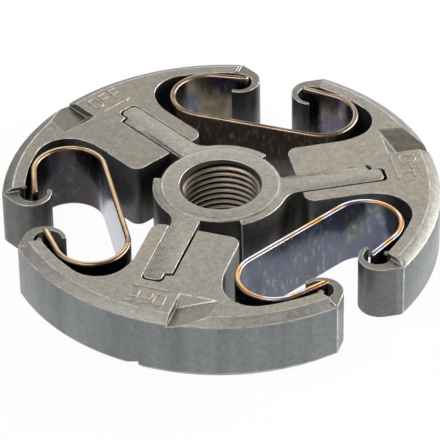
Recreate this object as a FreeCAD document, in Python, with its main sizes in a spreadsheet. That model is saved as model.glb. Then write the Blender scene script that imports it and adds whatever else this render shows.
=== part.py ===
"""Three-shoe centrifugal clutch of a chainsaw, drawn as a parametric FreeCAD document.

Seven pieces share one frame. The axis of the threaded bore is Z, the origin is the middle of
that bore, and the first arm of the hub points along +X. All lengths are millimetres.

  hub         spider: a threaded boss with three arms
  shoe_1..3   sintered weights that slide along the arms
  spring_1..3 flat steel strips bent to a C, each holding two neighbouring shoes together
"""
import FreeCAD
import Part
import Sketcher
import math
import os

# Driving sizes: name, value, what it is.
SIZES = (
    ("rim_radius", 32.0, "outer radius of the friction faces"),
    ("thickness", 10.4, "height of the shoes and of the boss along the axis"),
    ("rim_wall", 3.35, "radial thickness of the rim band of a shoe"),
    ("top_chamfer_reach", 1.6, "chamfer of the top outer edge, along the radius"),
    ("top_chamfer_drop", 0.85, "chamfer of the top outer edge, along the axis"),
    ("base_chamfer_reach", 1.3, "chamfer of the lower outer edge, along the radius"),
    ("base_chamfer_drop", 1.3, "chamfer of the lower outer edge, along the axis"),
    ("hub_gap", 1.3, "from the hub's lobes to the inner ends of the shoes"),
    ("lug_half", 6.65, "half width of the lug that carries the arm slot"),
    ("lug_corner", 1.6, "rounding of the lug's inner corners"),
    ("pocket_radius", 4.75, "round of the spring bay beside the lug"),
    ("pocket_rise", 5.12, "from the lug's side to the centre of that round"),
    ("blend_radius", 9.0, "curve from the lug's side into the spring bay"),
    ("hook_side", 5.8, "from the gap's middle plane to the centre of a hook"),
    ("hook_outer", 3.15, "outside radius of a hook"),
    ("hook_bore", 2.05, "inside radius of a hook, where a spring leg sits"),
    ("bore_shift", 0.45, "how far the inside of a hook lies nearer its lip than the outside"),
    ("lip_angle", 240.0, "direction from the hook's centre to the end of its lip, degrees"),
    ("hook_step", 0.8, "from the hook's centre to the step between hook and rim"),
    ("hook_drop", 0.75, "how far a hook lies below the top face of its shoe"),
    ("hook_rise", 1.05, "how far a hook ends above the underside of its shoe"),
    ("slot_width", 4.3, "width of the arm slot in a shoe"),
    ("side_gap", 0.22, "clearance of the arm on each side of the slot"),
    ("side_play", 0.21, "how far a shoe rests to one side within that clearance"),
    ("slide_play", 0.2, "how far a shoe that has gone home rests further in"),
    ("nose_step", 1.1, "step on one side of the slot before its end"),
    ("step_slant", 0.3, "lean of that step along the arm"),
    ("shoulder_reach", 21.6, "from the axis to the shoulder of an arm"),
    ("shoulder_gap", 0.55, "clearance in front of the shoulder at rest"),
    ("nose_reach", 23.65, "from the axis to the end of an arm"),
    ("nose_gap", 0.45, "clearance in front of the arm's end at rest"),
    ("nose_corner", 0.8, "rounding of the arm's end and of the slot's end"),
    ("arm_drop", 0.05, "how far arms and lobes lie below the faces of the shoes"),
    ("boss_radius", 8.9, "radius of the boss"),
    ("boss_rise", 0.15, "how far the boss stands out from the faces of the shoes"),
    ("boss_chamfer", 0.35, "chamfer of the boss edges, along the radius"),
    ("boss_chamfer_drop", 0.18, "chamfer of the boss edges, along the axis"),
    ("lobe_radius", 9.95, "radius of the lobe on one side of each arm"),
    ("lobe_angle", 84.5, "from an arm to the step where its lobe ends, degrees"),
    ("lobe_fillet", 3.0, "fillet between a lobe and its arm"),
    ("thread_radius", 5.46, "bore at the crests of the M12x1 left-hand thread"),
    ("thread_chamfer", 0.6, "lead-in at both ends of the thread, along the radius"),
    ("thread_lead", 0.9, "lead-in at both ends of the thread, along the axis"),
    ("strip", 0.85, "thickness of a spring strip"),
    ("strip_inset", 0.05, "how far a strip's edges lie inside the shoe faces"),
    ("spring_lift", 0.3, "how far a spring that has crept up its hooks stands higher"),
    ("spring_play", 0.25, "how far a spring can creep sideways in its hooks"),
    ("bend_radius", 5.65, "outside radius of a spring's end bend"),
    ("bend_gap", 0.38, "from the end bend to the rim band"),
    ("bend_end_gap", 2.33, "from the end bend to the end of the spring bay"),
    ("leg_angle", 8.08, "lean of a leg towards the rim, degrees"),
    ("leg_seat", 0.08, "how far inside the hook's centre the outer face of a leg ends"),
    ("leg_slant", 0.4, "how far the inner corner of a leg's end lies behind the outer one"),
    ("leg_gap", 0.5, "from the end of a leg to the closed end of its hook"),
    ("notch_reach", 6.3, "from the rim to the inner top edge of a pry notch"),
    ("notch_floor", 4.4, "from the rim to the inner end of the notch's deepest line"),
    ("notch_wall", 2.05, "steep wall of the pry notch, across the arm"),
    ("notch_end", 7.75, "place where the notch's ramp runs out"),
    ("notch_depth", 1.27, "depth of the pry notch at its steep wall"),
    ("base_notch_wall", 2.3, "steep wall of the underside notch, across the arm"),
    ("base_notch_depth", 1.8, "depth of the underside notch at its steep wall"),
)
VALUE = {name: value for name, value, note in SIZES}

SHOES = 3
HALF_TURN = 180.0 / SHOES
# How each shoe has settled within its clearances, as shares of the play across and along its
# arm, and how each spring has crept up and sideways.
SETTLED = (-1.0, 0.5, 0.65)
GONE_HOME = (0, 1, 0)
LIFTED = (1, 1, 0)
CREPT = (0.55, 0.0, -1.0)

os.makedirs("parts", exist_ok=True)
doc = FreeCAD.newDocument("clutch")
sheet = doc.addObject("Spreadsheet::Sheet", "Sizes")
for row, (name, value, note) in enumerate(SIZES, start=1):
    sheet.set("A%d" % row, name)
    sheet.set("B%d" % row, str(value))
    sheet.set("C%d" % row, note)
    sheet.setAlias("B%d" % row, name)
doc.recompute()

START, END, CENTRE = 1, 2, 3
ORIGIN = (-1, 1)


def on_circle(centre, radius, degrees):
    angle = math.radians(degrees)
    return (centre[0] + radius * math.cos(angle), centre[1] + radius * math.sin(angle))


def direction(centre, point):
    return math.atan2(point[1] - centre[1], point[0] - centre[0])


def origin_part(body, role):
    return [part for part in body.Origin.OriginFeatures if part.Role == role][0]


def spring_plan(point):
    """From a shoe's plan to that of the spring beside it, whose Y is the gap's middle plane."""
    lean = math.radians(HALF_TURN)
    return (point[0] * math.sin(lean) - point[1] * math.cos(lean),
            point[0] * math.cos(lean) + point[1] * math.sin(lean))


def shoe_plan(point):
    """From a spring's plan back to that of the shoe."""
    lean = math.radians(HALF_TURN)
    return (point[0] * math.sin(lean) + point[1] * math.cos(lean),
            point[1] * math.sin(lean) - point[0] * math.cos(lean))


# Places that follow from the sizes, as numbers for the first drawing and as formulas for the
# sheet to drive. X and Y belong to a shoe's plan, U and V to a spring's.
BAND = VALUE["rim_radius"] - VALUE["rim_wall"]
BAY_REACH = BAND - VALUE["pocket_radius"]
BAY_Y = VALUE["lug_half"] + VALUE["pocket_rise"]
BAY_X = math.sqrt(BAY_REACH ** 2 - BAY_Y ** 2)
BEND_U = (spring_plan((BAY_X, BAY_Y))[0] + VALUE["pocket_radius"] - VALUE["bend_end_gap"]
          - VALUE["bend_radius"])
BEND_V = math.sqrt((BAND - VALUE["bend_gap"] - VALUE["bend_radius"]) ** 2 - BEND_U ** 2)
BEND_END = on_circle((BEND_U, BEND_V), VALUE["bend_radius"], 90.0 - VALUE["leg_angle"])
LEG_U = VALUE["hook_side"] - VALUE["hook_bore"] + VALUE["leg_gap"]
LEG_V = BEND_END[1] + (BEND_END[0] - LEG_U) * math.tan(math.radians(VALUE["leg_angle"]))
HOOK_U = VALUE["hook_side"]
HOOK_V = LEG_V + VALUE["leg_seat"]
HOOK = shoe_plan((HOOK_U, HOOK_V))
BORE = shoe_plan((HOOK_U, HOOK_V - VALUE["bore_shift"]))

SHOE_INNER_F = "(Sizes.lobe_radius + Sizes.hub_gap)"
BAND_F = "(Sizes.rim_radius - Sizes.rim_wall)"
BAY_Y_F = "(Sizes.lug_half + Sizes.pocket_rise)"
BAY_X_F = "sqrt((%s - Sizes.pocket_radius)^2 - %s^2)" % (BAND_F, BAY_Y_F)
SIN_F = "sin(%g deg)" % HALF_TURN
COS_F = "cos(%g deg)" % HALF_TURN
BEND_U_F = ("(%s * %s - %s * %s + Sizes.pocket_radius - Sizes.bend_end_gap - Sizes.bend_radius)"
            % (BAY_X_F, SIN_F, BAY_Y_F, COS_F))
BEND_V_F = "sqrt((%s - Sizes.bend_gap - Sizes.bend_radius)^2 - %s^2)" % (BAND_F, BEND_U_F)
LEG_U_F = "(Sizes.hook_side - Sizes.hook_bore + Sizes.leg_gap)"
LEAN_F = "(Sizes.leg_angle * 1 deg)"
LEG_V_F = ("(%s + Sizes.bend_radius * cos%s + (%s + Sizes.bend_radius * sin%s - %s) * tan%s)"
           % (BEND_V_F, LEAN_F, BEND_U_F, LEAN_F, LEG_U_F, LEAN_F))
HOOK_V_F = "(%s + Sizes.leg_seat)" % LEG_V_F
HOOK_X_F = "(Sizes.hook_side * %s + %s * %s)" % (SIN_F, HOOK_V_F, COS_F)
HOOK_Y_F = "(%s * %s - Sizes.hook_side * %s)" % (HOOK_V_F, SIN_F, COS_F)
BORE_X_F = "(%s - Sizes.bore_shift * %s)" % (HOOK_X_F, COS_F)
BORE_Y_F = "(%s - Sizes.bore_shift * %s)" % (HOOK_Y_F, SIN_F)


class Drawing:
    """A sketch on one of a body's own planes, with its sizes bound to the sheet."""

    def __init__(self, body, name, plane):
        self.sketch = body.newObject("Sketcher::SketchObject", name)
        self.sketch.AttachmentSupport = [(origin_part(body, plane), "")]
        self.sketch.MapMode = "FlatFace"
        self.count = 0

    def line(self, start, end):
        first = FreeCAD.Vector(start[0], start[1], 0)
        second = FreeCAD.Vector(end[0], end[1], 0)
        return self.sketch.addGeometry(Part.LineSegment(first, second), False)

    def arc(self, centre, start, end):
        """An arc that runs counter-clockwise from start to end."""
        radius = math.hypot(start[0] - centre[0], start[1] - centre[1])
        middle = FreeCAD.Vector(centre[0], centre[1], 0)
        circle = Part.Circle(middle, FreeCAD.Vector(0, 0, 1), radius)
        first = direction(centre, start)
        last = direction(centre, end)
        if last < first:
            last += 2 * math.pi
        return self.sketch.addGeometry(Part.ArcOfCircle(circle, first, last), False)

    def rule(self, kind, *where):
        return self.sketch.addConstraint(Sketcher.Constraint(kind, *where))

    def meet(self, first, first_end, second, second_end):
        self.rule("Coincident", first, first_end, second, second_end)

    def flow(self, first, first_end, second, second_end):
        self.rule("Tangent", first, first_end, second, second_end)

    def bind(self, index, formula):
        self.count += 1
        name = "size_%d" % self.count
        self.sketch.renameConstraint(index, name)
        self.sketch.setExpression("Constraints." + name, formula)

    def radius(self, arc, formula):
        self.bind(self.rule("Radius", arc, self.sketch.Geometry[arc].Radius), formula)

    def along(self, kind, item, end, formula):
        """DistanceX or DistanceY of a point from the origin, always taken as positive."""
        point = self.sketch.getPoint(item, end)
        measured = point.x if kind == "DistanceX" else point.y
        if measured >= 0:
            index = self.rule(kind, *ORIGIN, item, end, measured)
        else:
            index = self.rule(kind, item, end, *ORIGIN, -measured)
        self.bind(index, formula)

    def across(self, item, end, formula):
        self.along("DistanceY", item, end, formula)

    def out(self, item, end, formula):
        self.along("DistanceX", item, end, formula)


def pad(body, name, drawing, length):
    feature = body.newObject("PartDesign::Pad", name)
    feature.Profile = drawing.sketch
    feature.SideType = "Symmetric"
    feature.setExpression("Length", length)
    return feature


def groove(body, name, drawing):
    feature = body.newObject("PartDesign::Groove", name)
    feature.Profile = drawing.sketch
    feature.ReferenceAxis = (drawing.sketch, ["V_Axis"])
    feature.Angle = 360.0
    return feature


def edge_cut(drawing, radius, radius_formula, reach, drop, side, outward, rise=None):
    """A triangle that takes a circular edge off when it is turned about the axis.

    radius is the wall the edge belongs to, reach the width of the chamfer along the radius and
    drop its height; side is +1 for the top edge and -1 for the lower one; outward is +1 where
    the wall faces away from the axis and -1 for a bore; rise names the size by which the face
    stands out from those of the shoes.
    """
    face = VALUE["thickness"] / 2 + (VALUE[rise] if rise else 0.0)
    face_formula = "Sizes.thickness / 2" + (" + Sizes.%s" % rise if rise else "")
    wide = VALUE[reach]
    high = VALUE[drop]
    on_face = (radius - outward * wide, side * face)
    on_wall = (radius, side * (face - high))
    beyond = (radius + outward * wide, side * (face + high))
    a = drawing.line(on_face, on_wall)
    b = drawing.line(on_wall, beyond)
    c = drawing.line(beyond, on_face)
    drawing.meet(a, END, b, START)
    drawing.meet(b, END, c, START)
    drawing.meet(c, END, a, START)
    sign = "-" if outward > 0 else "+"
    other = "+" if outward > 0 else "-"
    drawing.out(a, START, "%s %s Sizes.%s" % (radius_formula, sign, reach))
    drawing.across(a, START, face_formula)
    drawing.out(a, END, radius_formula)
    drawing.across(a, END, "%s - Sizes.%s" % (face_formula, drop))
    drawing.out(b, END, "%s %s Sizes.%s" % (radius_formula, other, reach))
    drawing.across(b, END, "%s + Sizes.%s" % (face_formula, drop))


def arm_outline(drawing, x_start, wall, nose, back, shoulder, tip, x_end_line):
    """Shoulder, nose and far side, the part of the outline that arm and slot have alike.

    wall, nose and back are the y of the straight side, of the nose after the step and of the
    far side, shoulder and tip the x of the shoulder and of the end: each a pair of value and
    formula. Returns the first line and the far line, whose free ends the caller joins.
    """
    slant = VALUE["step_slant"]
    corner = VALUE["nose_corner"]
    x_step = shoulder[0] + slant
    first = drawing.line((x_start, wall[0]), (shoulder[0], wall[0]))
    step = drawing.line((shoulder[0], wall[0]), (x_step, nose[0]))
    neck = drawing.line((x_step, nose[0]), (tip[0] - corner, nose[0]))
    upper = drawing.arc((tip[0] - corner, nose[0] - corner), (tip[0], nose[0] - corner),
                        (tip[0] - corner, nose[0]))
    end = drawing.line((tip[0], nose[0] - corner), (tip[0], back[0] + corner))
    lower = drawing.arc((tip[0] - corner, back[0] + corner), (tip[0] - corner, back[0]),
                        (tip[0], back[0] + corner))
    far = drawing.line((tip[0] - corner, back[0]), (x_end_line, back[0]))
    drawing.meet(first, END, step, START)
    drawing.meet(step, END, neck, START)
    drawing.flow(neck, END, upper, END)
    drawing.flow(upper, START, end, START)
    drawing.flow(end, END, lower, END)
    drawing.flow(lower, START, far, START)
    drawing.rule("Horizontal", first)
    drawing.rule("Horizontal", neck)
    drawing.rule("Vertical", end)
    drawing.rule("Horizontal", far)
    if wall[1] is None:
        drawing.rule("PointOnObject", first, END, -1)
    else:
        drawing.across(first, END, wall[1])
    drawing.out(first, END, shoulder[1])
    drawing.out(step, END, "%s + Sizes.step_slant" % shoulder[1])
    drawing.across(neck, START, nose[1])
    drawing.out(end, START, tip[1])
    drawing.across(far, START, back[1])
    drawing.radius(upper, "Sizes.nose_corner")
    drawing.radius(lower, "Sizes.nose_corner")
    return first, far


def make_hub():
    body = doc.addObject("PartDesign::Body", "hub")
    body.Label = "hub"

    boss = Drawing(body, "boss_outline", "XY_Plane")
    middle = FreeCAD.Vector(0, 0, 0)
    circle = Part.Circle(middle, FreeCAD.Vector(0, 0, 1), VALUE["boss_radius"])
    ring = boss.sketch.addGeometry(circle, False)
    boss.rule("Coincident", ring, CENTRE, *ORIGIN)
    boss.radius(ring, "Sizes.boss_radius")
    pad(body, "boss", boss, "Sizes.thickness + 2 * Sizes.boss_rise")

    # One arm with its lobe. The wall side runs straight from the boss, the far side through a
    # fillet into the lobe, which ends in a step.
    gap = VALUE["side_gap"]
    back = -VALUE["slot_width"] + gap
    lobe = VALUE["lobe_radius"]
    fillet = VALUE["lobe_fillet"]
    fillet_x = math.sqrt((lobe + fillet) ** 2 - (back - fillet) ** 2)
    fillet_centre = (fillet_x, back - fillet)
    share = lobe / (lobe + fillet)
    touch = (fillet_centre[0] * share, fillet_centre[1] * share)
    lobe_step = on_circle((0, 0), lobe, -VALUE["lobe_angle"])
    arm = Drawing(body, "arm_outline", "XY_Plane")
    first, far = arm_outline(
        arm, 0.0,
        (-gap, "Sizes.side_gap"),
        (-VALUE["nose_step"] - gap, "Sizes.nose_step + Sizes.side_gap"),
        (back, "Sizes.slot_width - Sizes.side_gap"),
        (VALUE["shoulder_reach"], "Sizes.shoulder_reach"),
        (VALUE["nose_reach"], "Sizes.nose_reach"),
        fillet_x)
    curve = arm.arc(fillet_centre, (fillet_x, back), touch)
    round_side = arm.arc((0, 0), lobe_step, touch)
    step = arm.line(lobe_step, (0.0, -gap))
    arm.flow(far, END, curve, START)
    arm.flow(curve, END, round_side, END)
    arm.meet(round_side, START, step, START)
    arm.meet(step, END, first, START)
    arm.rule("PointOnObject", first, START, -2)
    arm.rule("Coincident", round_side, CENTRE, *ORIGIN)
    arm.radius(curve, "Sizes.lobe_fillet")
    arm.radius(round_side, "Sizes.lobe_radius")
    arm.across(step, START, "Sizes.lobe_radius * sin(Sizes.lobe_angle * 1 deg)")
    one_arm = pad(body, "arm", arm, "Sizes.thickness - 2 * Sizes.arm_drop")

    arms = body.newObject("PartDesign::PolarPattern", "arms")
    arms.Originals = [one_arm]
    arms.Axis = (origin_part(body, "Z_Axis"), [""])
    arms.Angle = 360.0
    arms.Occurrences = SHOES
    body.Tip = arms

    bore = Drawing(body, "bore_outline", "XY_Plane")
    circle = Part.Circle(middle, FreeCAD.Vector(0, 0, 1), VALUE["thread_radius"])
    wall = bore.sketch.addGeometry(circle, False)
    bore.rule("Coincident", wall, CENTRE, *ORIGIN)
    bore.radius(wall, "Sizes.thread_radius")
    hole = body.newObject("PartDesign::Pocket", "bore")
    hole.Profile = bore.sketch
    hole.SideType = "Symmetric"
    hole.setExpression("Length", "2 * Sizes.thickness")

    edges = Drawing(body, "boss_edges", "XZ_Plane")
    for side in (1, -1):
        edge_cut(edges, VALUE["thread_radius"], "Sizes.thread_radius", "thread_chamfer",
                 "thread_lead", side, -1, "boss_rise")
        edge_cut(edges, VALUE["boss_radius"], "Sizes.boss_radius", "boss_chamfer",
                 "boss_chamfer_drop", side, 1, "boss_rise")
    groove(body, "boss_chamfers", edges)
    return body


def notch(body, name, side, wall, end, depth):
    """A wedge cut into the outer edge: steep wall, sloping inner side and a ramp."""
    turn = FreeCAD.Rotation(FreeCAD.Vector(1, 0, 0), -90.0 * side)
    cut = body.newObject("PartDesign::SubtractiveWedge", name)
    cut.AttachmentSupport = [(origin_part(body, "XY_Plane"), "")]
    cut.MapMode = "FlatFace"
    base = FreeCAD.Vector(0, 0, side * VALUE["thickness"] / 2)
    cut.AttachmentOffset = FreeCAD.Placement(base, turn)
    cut.setExpression("AttachmentOffset.Base.z", "%d * Sizes.thickness / 2" % side)
    cut.setExpression("Xmin", "Sizes.rim_radius - Sizes.notch_reach")
    cut.setExpression("Xmax", "Sizes.rim_radius + 1")
    cut.setExpression("X2min", "Sizes.rim_radius - Sizes.notch_floor")
    cut.setExpression("X2max", "Sizes.rim_radius + 1")
    cut.setExpression("Zmin", wall)
    cut.setExpression("Zmax", end)
    cut.setExpression("Z2min", wall)
    cut.setExpression("Z2max", "%s + 0.02" % wall)
    cut.Ymin = 0.0
    cut.setExpression("Ymax", depth)
    return cut


def make_shoe(number):
    name = "shoe_%d" % number
    body = doc.addObject("PartDesign::Body", name)
    body.Label = name

    radius = VALUE["rim_radius"]
    band = BAND
    inner = VALUE["lobe_radius"] + VALUE["hub_gap"]
    half = VALUE["lug_half"]
    corner = VALUE["lug_corner"]
    blend = VALUE["blend_radius"]
    bay = VALUE["pocket_radius"]
    hook = HOOK
    hook_outer = VALUE["hook_outer"]
    hook_bore = VALUE["hook_bore"]

    # Half of the shoe in plan: the lug, the spring bay beside it and the rim band.
    bay_centre = (BAY_X, BAY_Y)
    band_start = (BAY_X * band / BAY_REACH, BAY_Y * band / BAY_REACH)
    rise = blend - VALUE["pocket_rise"]
    blend_centre = (BAY_X - math.sqrt((blend - bay) ** 2 - rise ** 2), half + blend)
    share = blend / (blend - bay)
    blend_end = (blend_centre[0] + (bay_centre[0] - blend_centre[0]) * share,
                 blend_centre[1] + (bay_centre[1] - blend_centre[1]) * share)

    # Where the step plane meets the band and the rim.
    step_u = HOOK_U + VALUE["hook_step"]
    step_in = shoe_plan((step_u, math.sqrt(band ** 2 - step_u ** 2)))
    step_out = shoe_plan((step_u, math.sqrt(radius ** 2 - step_u ** 2)))

    plan = Drawing(body, "half_outline", "XY_Plane")
    end_line = plan.line((inner, 0.0), (inner, half - corner))
    end_round = plan.arc((inner + corner, half - corner), (inner + corner, half),
                         (inner, half - corner))
    side = plan.line((inner + corner, half), (blend_centre[0], half))
    curve = plan.arc(blend_centre, (blend_centre[0], half), blend_end)
    round_bay = plan.arc(bay_centre, blend_end, band_start)
    wall = plan.arc((0, 0), band_start, step_in)
    step = plan.line(step_in, step_out)
    rim = plan.arc((0, 0), (radius, 0.0), step_out)
    axis = plan.line((inner, 0.0), (radius, 0.0))
    plan.meet(axis, START, end_line, START)
    plan.flow(end_line, END, end_round, END)
    plan.flow(end_round, START, side, START)
    plan.flow(side, END, curve, START)
    plan.flow(curve, END, round_bay, START)
    plan.flow(round_bay, END, wall, START)
    plan.meet(wall, END, step, START)
    plan.meet(step, END, rim, END)
    plan.meet(rim, START, axis, END)
    plan.rule("Vertical", end_line)
    plan.rule("Horizontal", side)
    plan.rule("Horizontal", axis)
    plan.rule("PointOnObject", axis, START, -1)
    plan.rule("Coincident", wall, CENTRE, *ORIGIN)
    plan.rule("Coincident", rim, CENTRE, *ORIGIN)
    plan.rule("Angle", step, math.radians(HALF_TURN))
    plan.bind(plan.rule("Distance", *ORIGIN, step, step_u), "Sizes.hook_side + Sizes.hook_step")
    plan.out(axis, START, SHOE_INNER_F)
    plan.across(side, START, "Sizes.lug_half")
    plan.radius(end_round, "Sizes.lug_corner")
    plan.radius(curve, "Sizes.blend_radius")
    plan.radius(round_bay, "Sizes.pocket_radius")
    plan.across(round_bay, CENTRE, BAY_Y_F)
    plan.radius(wall, BAND_F)
    plan.radius(rim, "Sizes.rim_radius")
    main = pad(body, "half_shoe", plan, "Sizes.thickness")

    # The hook: a flat end, a curl round the spring leg that thins towards its lip, and a round tip.
    bore = BORE
    flat = hook[1] + hook_outer
    root = bore[1] + hook_bore / 4
    lip = VALUE["lip_angle"]
    lip_middle = (hook_outer + hook_bore + VALUE["bore_shift"]) / 2
    lip_outer = on_circle(hook, hook_outer, lip)
    lip_inner = on_circle(bore, hook_bore, lip)
    lip_centre = on_circle(hook, lip_middle, lip)
    bore_start = (bore[0] + math.sqrt(hook_bore ** 2 - (hook_bore / 4) ** 2), root)
    corner_out = (math.sqrt(radius ** 2 - flat ** 2), flat)
    root_out = (math.sqrt(radius ** 2 - root ** 2), root)
    curl = Drawing(body, "hook_outline", "XY_Plane")
    end_flat = curl.line(corner_out, (hook[0], flat))
    outside = curl.arc(hook, (hook[0], flat), lip_outer)
    tip = curl.arc(lip_centre, lip_outer, lip_inner)
    inside = curl.arc(bore, bore_start, lip_inner)
    root_line = curl.line(bore_start, root_out)
    rim_piece = curl.arc((0, 0), root_out, corner_out)
    curl.flow(end_flat, END, outside, START)
    curl.flow(outside, END, tip, START)
    curl.flow(tip, END, inside, END)
    curl.meet(inside, START, root_line, START)
    curl.meet(root_line, END, rim_piece, START)
    curl.meet(rim_piece, END, end_flat, START)
    curl.rule("Horizontal", end_flat)
    curl.rule("Horizontal", root_line)
    curl.rule("Coincident", rim_piece, CENTRE, *ORIGIN)
    curl.out(outside, CENTRE, HOOK_X_F)
    curl.across(outside, CENTRE, HOOK_Y_F)
    curl.out(inside, CENTRE, BORE_X_F)
    curl.across(inside, CENTRE, BORE_Y_F)
    curl.radius(outside, "Sizes.hook_outer")
    curl.radius(inside, "Sizes.hook_bore")
    curl.radius(rim_piece, "Sizes.rim_radius")
    curl.across(root_line, START, BORE_Y_F + " + Sizes.hook_bore / 4")
    curl.out(tip, CENTRE, HOOK_X_F + " + (Sizes.hook_outer + Sizes.hook_bore + Sizes.bore_shift) / 2"
             " * cos(Sizes.lip_angle * 1 deg)")
    hook_pad = pad(body, "hook", curl, "Sizes.thickness / 2 - Sizes.hook_drop")
    hook_pad.SideType = "Two sides"
    hook_pad.setExpression("Length2", "Sizes.thickness / 2 - Sizes.hook_rise")

    both = body.newObject("PartDesign::Mirrored", "both_halves")
    both.Originals = [main, hook_pad]
    both.MirrorPlane = (origin_part(body, "XZ_Plane"), [""])
    body.Tip = both

    # The slot that rides on the hub's arm.
    opening = inner - VALUE["slot_width"] / 2
    slot = Drawing(body, "slot_outline", "XY_Plane")
    back = -VALUE["slot_width"]
    first, far_line = arm_outline(
        slot, opening,
        (0.0, None),
        (-VALUE["nose_step"], "Sizes.nose_step"),
        (back, "Sizes.slot_width"),
        (VALUE["shoulder_reach"] + VALUE["shoulder_gap"],
         "Sizes.shoulder_reach + Sizes.shoulder_gap"),
        (VALUE["nose_reach"] + VALUE["nose_gap"], "Sizes.nose_reach + Sizes.nose_gap"),
        opening)
    mouth = slot.line((opening, back), (opening, 0.0))
    slot.meet(far_line, END, mouth, START)
    slot.meet(mouth, END, first, START)
    slot.rule("Vertical", mouth)
    slot.out(mouth, END, SHOE_INNER_F + " - Sizes.slot_width / 2")
    cut = body.newObject("PartDesign::Pocket", "slot")
    cut.Profile = slot.sketch
    cut.SideType = "Symmetric"
    cut.setExpression("Length", "2 * Sizes.thickness")

    edges = Drawing(body, "rim_edges", "XZ_Plane")
    edge_cut(edges, radius, "Sizes.rim_radius", "top_chamfer_reach", "top_chamfer_drop", 1, 1)
    edge_cut(edges, radius, "Sizes.rim_radius", "base_chamfer_reach", "base_chamfer_drop", -1, 1)
    groove(body, "rim_chamfers", edges)

    notch(body, "pry_notch", 1, "Sizes.notch_wall", "Sizes.notch_end", "Sizes.notch_depth")
    notch(body, "base_notch", -1, "Sizes.base_notch_wall",
          "Sizes.base_notch_wall + Sizes.notch_end - Sizes.notch_wall", "Sizes.base_notch_depth")

    angle = 360.0 / SHOES * (number - 1)
    turn = FreeCAD.Rotation(FreeCAD.Vector(0, 0, 1), angle)
    home = -GONE_HOME[number - 1] * VALUE["slide_play"]
    shift = FreeCAD.Vector(home, SETTLED[number - 1] * VALUE["side_play"], 0)
    body.Placement = FreeCAD.Placement(turn.multVec(shift), turn)
    return body


def make_spring(number):
    name = "spring_%d" % number
    body = doc.addObject("PartDesign::Body", name)
    body.Label = name

    # Half of the strip's edge outline; Y points away from the clutch axis.
    thick = VALUE["strip"]
    bend = (BEND_U, BEND_V)
    outer = VALUE["bend_radius"]
    inner = outer - thick
    # The leg leaves the bend as a tangent and ends in the hook.
    tip_out = (LEG_U, LEG_V)
    bend_out = BEND_END
    bend_in = on_circle(bend, inner, 90.0 - VALUE["leg_angle"])
    lean = math.radians(VALUE["leg_angle"])
    slant = VALUE["leg_slant"]
    tip_in = (tip_out[0] + bend_in[0] - bend_out[0] + slant * math.cos(lean),
              tip_out[1] + bend_in[1] - bend_out[1] - slant * math.sin(lean))

    strip = Drawing(body, "half_strip", "XY_Plane")
    back_out = strip.line((0.0, bend[1] - outer), (bend[0], bend[1] - outer))
    curve_out = strip.arc(bend, (bend[0], bend[1] - outer), bend_out)
    leg_out = strip.line(bend_out, tip_out)
    tip = strip.line(tip_out, tip_in)
    leg_in = strip.line(tip_in, bend_in)
    curve_in = strip.arc(bend, (bend[0], bend[1] - inner), bend_in)
    back_in = strip.line((bend[0], bend[1] - inner), (0.0, bend[1] - inner))
    middle = strip.line((0.0, bend[1] - inner), (0.0, bend[1] - outer))
    strip.flow(back_out, END, curve_out, START)
    strip.flow(curve_out, END, leg_out, START)
    strip.meet(leg_out, END, tip, START)
    strip.meet(tip, END, leg_in, START)
    strip.flow(leg_in, END, curve_in, END)
    strip.flow(curve_in, START, back_in, START)
    strip.meet(back_in, END, middle, START)
    strip.meet(middle, END, back_out, START)
    strip.rule("PointOnObject", back_out, START, -2)
    strip.rule("Vertical", middle)
    strip.rule("Coincident", curve_in, CENTRE, curve_out, CENTRE)
    strip.rule("Horizontal", back_out)
    strip.bind(strip.rule("Distance", tip, math.hypot(thick, slant)),
               "sqrt(Sizes.strip ^ 2 + Sizes.leg_slant ^ 2)")
    strip.rule("Parallel", leg_in, leg_out)
    strip.out(curve_out, CENTRE, BEND_U_F)
    strip.across(curve_out, CENTRE, BEND_V_F)
    strip.radius(curve_out, "Sizes.bend_radius")
    strip.radius(curve_in, "Sizes.bend_radius - Sizes.strip")
    strip.out(leg_out, END, LEG_U_F)
    strip.across(leg_out, END, LEG_V_F)
    half = pad(body, "half_spring", strip, "Sizes.thickness - 2 * Sizes.strip_inset")

    whole = body.newObject("PartDesign::Mirrored", "both_ends")
    whole.Originals = [half]
    whole.MirrorPlane = (origin_part(body, "YZ_Plane"), [""])
    body.Tip = whole

    angle = 360.0 / SHOES * (number - 1) + HALF_TURN - 90.0
    turn = FreeCAD.Rotation(FreeCAD.Vector(0, 0, 1), angle)
    creep = CREPT[number - 1] * VALUE["spring_play"]
    shift = FreeCAD.Vector(creep, 0, LIFTED[number - 1] * VALUE["spring_lift"])
    body.Placement = FreeCAD.Placement(turn.multVec(shift), turn)
    return body


pieces = [make_hub()]
for number in range(1, SHOES + 1):
    pieces.append(make_shoe(number))
for number in range(1, SHOES + 1):
    pieces.append(make_spring(number))
doc.recompute()

bad = [item.Name for item in doc.Objects if "Invalid" in item.State or "Error" in item.State]
if bad:
    raise RuntimeError("not rebuilt: " + ", ".join(bad))
for piece in pieces:
    if piece.Shape.isNull() or not piece.Shape.isValid() or len(piece.Shape.Solids) != 1:
        raise RuntimeError("bad shape: " + piece.Label)
    piece.Shape.exportStep("parts/%s.step" % piece.Label)
    box = piece.Shape.BoundBox
    print("%-9s volume %8.1f mm3  x %.2f..%.2f  y %.2f..%.2f  z %.2f..%.2f" % (
        piece.Label, piece.Shape.Volume, box.XMin, box.XMax, box.YMin, box.YMax,
        box.ZMin, box.ZMax))
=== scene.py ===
# %% [markdown]
# # A chainsaw clutch
# The part is a centrifugal clutch: three sintered steel shoes slide on the arms of a threaded hub,
# and flat springs bent to a C draw them back. The CAD model gives every size and place, so this
# script adds what solids can't carry: finishes, a real thread, rounded edges and springs in two halves.

# %% Load the fixed frame
import math
import bmesh
import bpy
from mathutils import Matrix, Vector


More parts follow.
